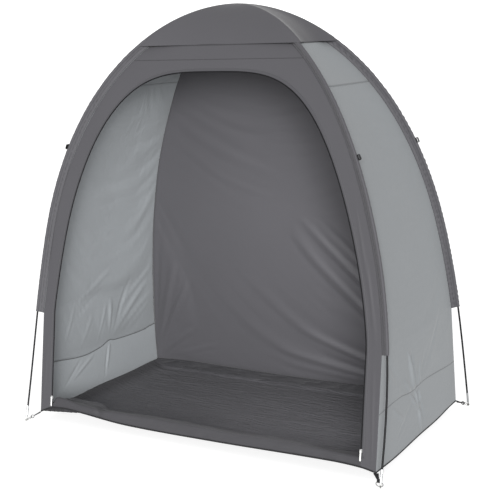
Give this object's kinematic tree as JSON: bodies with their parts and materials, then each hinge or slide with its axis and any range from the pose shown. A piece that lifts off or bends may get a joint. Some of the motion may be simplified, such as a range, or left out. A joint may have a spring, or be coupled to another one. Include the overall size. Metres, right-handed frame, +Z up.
{
  "type": "arched shelter tent on two crossed poles",
  "caption": "Tall narrow shelter tent: crossed arched poles in fabric sleeves, pale side walls, a raised groundsheet and a zipped arched doorway with the door dropped inside.",
  "frame": {"origin": "on the ground under the point where the two poles cross, the centre of the footprint", "axes": "+Z up; +X to the right along the width, seen from the doorway; the doorway faces -Y and +Y points to the back wall"},
  "size_m": [2.0152, 1.1968, 2.1128],
  "materials": {
    "fabric_dark": "matte coated polyester, dark grey",
    "fabric_light": "matte coated polyester, pale grey",
    "groundsheet": "satin woven polyethylene, charcoal",
    "webbing_black": "woven webbing, black",
    "pole_black": "smooth fibreglass, black",
    "ferrule_aluminium": "drawn tube, satin",
    "hardware_steel": "zinc plated",
    "shock_cord": "braided elastic cord",
    "zip_tape": "woven zip tape",
    "zip_coil": "nylon coil",
    "slider_metal": "die-cast, satin",
    "pull_white": "moulded, semi-gloss"
  },
  "bodies": {
    "tent": {"roof_panel": "fabric_dark", "front_panel": "fabric_dark", "back_panel": "fabric_dark", "left_wall_top": "fabric_light", "left_wall_middle": "fabric_light", "left_wall_skirt": "fabric_light", "right_wall_top": "fabric_light", "right_wall_middle": "fabric_light", "right_wall_skirt": "fabric_light", "groundsheet": "groundsheet", "hem_binding": "webbing_black", "sleeve_front_left": "fabric_dark", "sleeve_front_right": "fabric_dark", "sleeve_back_right": "fabric_dark", "sleeve_back_left": "fabric_dark", "pole_a_section_1": "pole_black", "pole_a_section_2": "pole_black", "pole_a_section_3": "pole_black", "pole_a_section_4": "pole_black", "pole_a_section_5": "pole_black", "pole_a_section_6": "pole_black", "pole_a_section_7": "pole_black", "pole_a_section_8": "pole_black", "pole_a_section_9": "pole_black", "pole_b_section_1": "pole_black", "pole_b_section_2": "pole_black", "pole_b_section_3": "pole_black", "pole_b_section_4": "pole_black", "pole_b_section_5": "pole_black", "pole_b_section_6": "pole_black", "pole_b_section_7": "pole_black", "pole_b_section_8": "pole_black", "pole_b_section_9": "pole_black", "pole_a_ferrules": "ferrule_aluminium", "pole_b_ferrules": "ferrule_aluminium", "pole_a_shock_cord": "shock_cord", "pole_b_shock_cord": "shock_cord", "pole_tips": "ferrule_aluminium", "pin_front_left": "hardware_steel", "pin_front_right": "hardware_steel", "pin_back_right": "hardware_steel", "pin_back_left": "hardware_steel", "strap_front_left": "webbing_black", "strap_front_right": "webbing_black", "strap_back_right": "webbing_black", "strap_back_left": "webbing_black", "door_panel": "fabric_dark", "door_zip_tape": "zip_tape", "door_zip_coil": "zip_coil", "guy_loops": "webbing_black"},
    "zip_slider_left": {"zip_slider_left": "slider_metal"},
    "zip_pull_left": {"zip_pull_left": "pull_white"},
    "zip_slider_right": {"zip_slider_right": "slider_metal"},
    "zip_pull_right": {"zip_pull_right": "pull_white"},
    "ring_front_left": {"ring_front_left": "hardware_steel"},
    "ring_front_right": {"ring_front_right": "hardware_steel"},
    "ring_back_right": {"ring_back_right": "hardware_steel"},
    "ring_back_left": {"ring_back_left": "hardware_steel"}
  },
  "joints": [
    {"name": "slide_zip_left", "type": "slide", "parent": "tent", "child": "zip_slider_left", "axis": [0, 0.1457, 0.9893], "range_m": [0, 0.42]},
    {"name": "swing_pull_left", "type": "hinge", "parent": "zip_slider_left", "child": "zip_pull_left", "pos_m": [-0.87773, -0.52526, 0.12921], "axis": [-1, 0, 0], "range_deg": [0, 160]},
    {"name": "slide_zip_right", "type": "slide", "parent": "tent", "child": "zip_slider_right", "axis": [0, 0.1457, 0.9893], "range_m": [0, 0.42]},
    {"name": "swing_pull_right", "type": "hinge", "parent": "zip_slider_right", "child": "zip_pull_right", "pos_m": [0.87773, -0.52526, 0.12921], "axis": [-1, 0, 0], "range_deg": [0, 160]},
    {"name": "swing_ring_front_left", "type": "hinge", "parent": "tent", "child": "ring_front_left", "pos_m": [-1, -0.59253, 0.009], "axis": [0.5604, 0.742, 0.3679], "range_deg": [-20, 20]},
    {"name": "swing_ring_front_right", "type": "hinge", "parent": "tent", "child": "ring_front_right", "pos_m": [1, -0.59253, 0.009], "axis": [-0.5604, 0.742, 0.3679], "range_deg": [-20, 20]},
    {"name": "swing_ring_back_right", "type": "hinge", "parent": "tent", "child": "ring_back_right", "pos_m": [1, 0.59253, 0.009], "axis": [-0.5604, -0.742, 0.3679], "range_deg": [-20, 20]},
    {"name": "swing_ring_back_left", "type": "hinge", "parent": "tent", "child": "ring_back_left", "pos_m": [-1, 0.59253, 0.009], "axis": [0.5604, -0.742, 0.3679], "range_deg": [-20, 20]}
  ]
}
